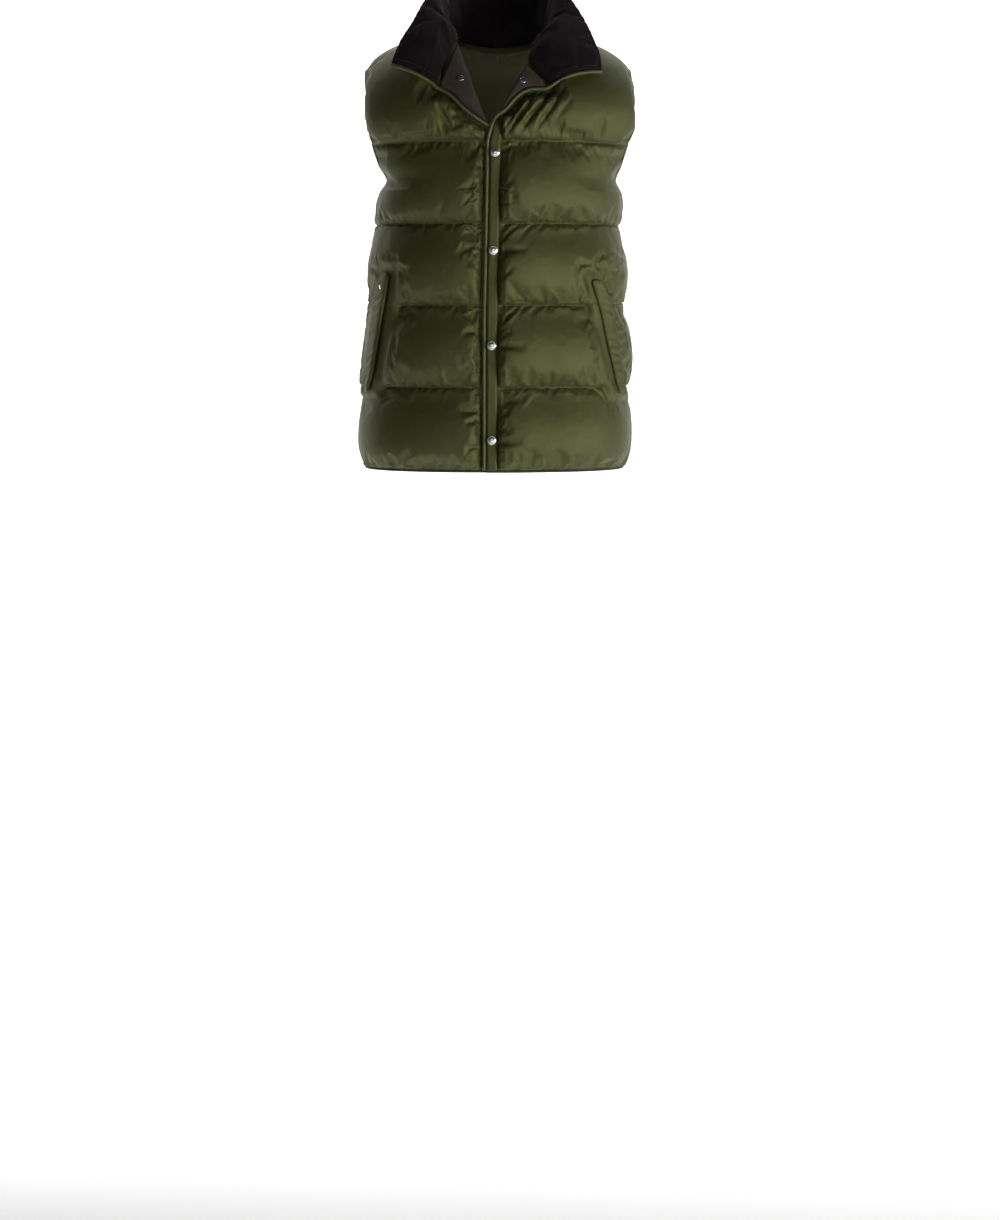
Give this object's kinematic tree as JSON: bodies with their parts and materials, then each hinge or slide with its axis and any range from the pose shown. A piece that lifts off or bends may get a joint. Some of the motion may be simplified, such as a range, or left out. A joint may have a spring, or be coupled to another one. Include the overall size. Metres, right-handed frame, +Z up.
{
  "type": "quilted vest",
  "caption": "Sleeveless quilted vest as worn, with a snapped front, a padded collar turned out at the open neck, slanted welt pockets and bound armholes.",
  "frame": {"origin": "between the two shoulder points of the wearer, at mid depth, where the shoulders hold the vest", "axes": "+X to the wearer's left, +Y to the back, +Z up; the front faces -Y"},
  "size_m": [0.4069, 0.2968, 0.7218],
  "materials": {
    "shell_cloth": "satin woven nylon, olive green",
    "collar_cloth": "soft napped cotton, near-black brown",
    "facing_cloth": "matt woven facing, brown grey",
    "piping_cloth": "corded satin piping, lighter olive",
    "hem_cloth": "woven binding, dark brown",
    "snap_metal": "polished nickel"
  },
  "bodies": {
    "root": {"front_left": "shell_cloth", "front_right": "shell_cloth", "back": "shell_cloth", "front_placket": "shell_cloth", "collar_shell": "shell_cloth", "collar_facing": "collar_cloth", "front_facing_right": "facing_cloth", "front_facing_left": "facing_cloth", "edge_piping_right": "piping_cloth", "edge_piping_left": "piping_cloth", "armhole_binding_right": "shell_cloth", "armhole_binding_left": "shell_cloth", "hem_binding": "hem_cloth", "pocket_welt_right": "shell_cloth", "pocket_welt_left": "shell_cloth", "front_snap_1": "snap_metal", "front_snap_2": "snap_metal", "front_snap_3": "snap_metal", "front_snap_4": "snap_metal", "facing_snap_right": "snap_metal", "facing_snap_left": "snap_metal", "pocket_snap_right": "snap_metal"}
  },
  "joints": []
}
